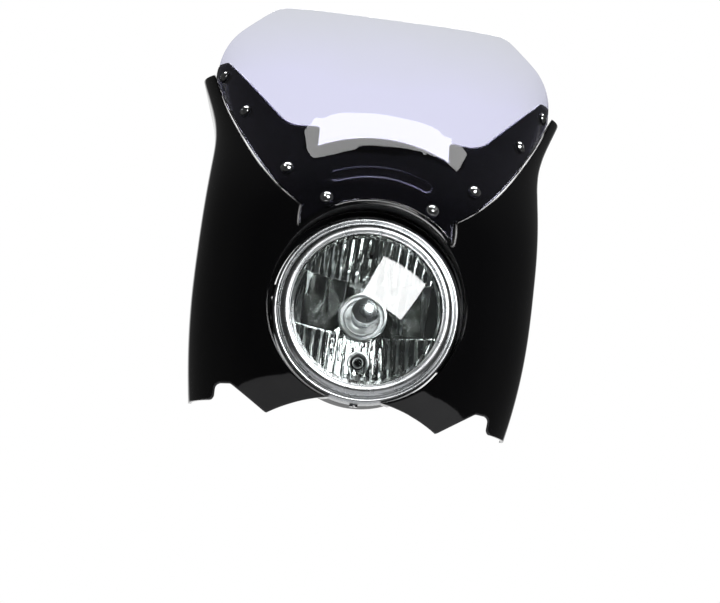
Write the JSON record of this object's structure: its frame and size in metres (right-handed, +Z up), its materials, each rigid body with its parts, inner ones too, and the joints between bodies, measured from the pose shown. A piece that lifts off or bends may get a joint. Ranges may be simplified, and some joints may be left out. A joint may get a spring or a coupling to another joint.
{
  "type": "motorcycle front cowl with headlamp",
  "caption": "Gloss-black moulded front cowl with a clear screwed-on windscreen, a round headlamp in a bright stepped rim, and a folded steel stay that bolts to the machine's fork.",
  "frame": {"origin": "middle of the stay plate's rear face, at the centre of its bolt pattern and on the lamp's axis", "axes": "+X to the right seen from the front, +Y backwards towards the machine, +Z up; the lamp faces -Y"},
  "size_m": [0.3938, 0.2587, 0.4571],
  "materials": {
    "black_lacquer": "gloss",
    "clear_acrylic": "clear gloss",
    "bright_steel": "polished",
    "washer_nylon": "satin",
    "black_rubber": "matte",
    "insert_brass": "turned",
    "rim_chrome": "polished",
    "lens_glass": "clear",
    "reflector_mirror": "mirror",
    "bulb_glass": "clear",
    "plain_steel": "zinc plated",
    "black_plastic": "matte",
    "black_enamel": "semi-gloss"
  },
  "bodies": {
    "root": {"cowl_shell": "black_lacquer", "windscreen": "clear_acrylic", "windscreen_screws": "bright_steel", "windscreen_washers": "washer_nylon", "well_nuts": "black_rubber", "well_nut_inserts": "insert_brass", "lamp_rim": "rim_chrome", "lens_gasket": "black_rubber", "lamp_lens": "lens_glass", "reflector": "reflector_mirror", "main_bulb": "bulb_glass", "bulb_base": "plain_steel", "bulb_shield": "rim_chrome", "bulb_clip": "plain_steel", "bulb_boot": "black_rubber", "bulb_connector": "black_plastic", "parking_bulb": "bulb_glass", "parking_holder": "black_plastic", "lens_clips": "plain_steel", "lamp_bucket": "black_enamel", "cable_grommet": "black_rubber", "rim_screw": "bright_steel", "rim_nut": "plain_steel", "stay": "black_enamel", "lamp_bolts": "plain_steel", "lamp_washers": "plain_steel", "cowl_bolts": "plain_steel", "cowl_washers": "plain_steel", "cowl_grommets": "black_rubber", "cowl_inserts": "insert_brass"}
  },
  "joints": []
}
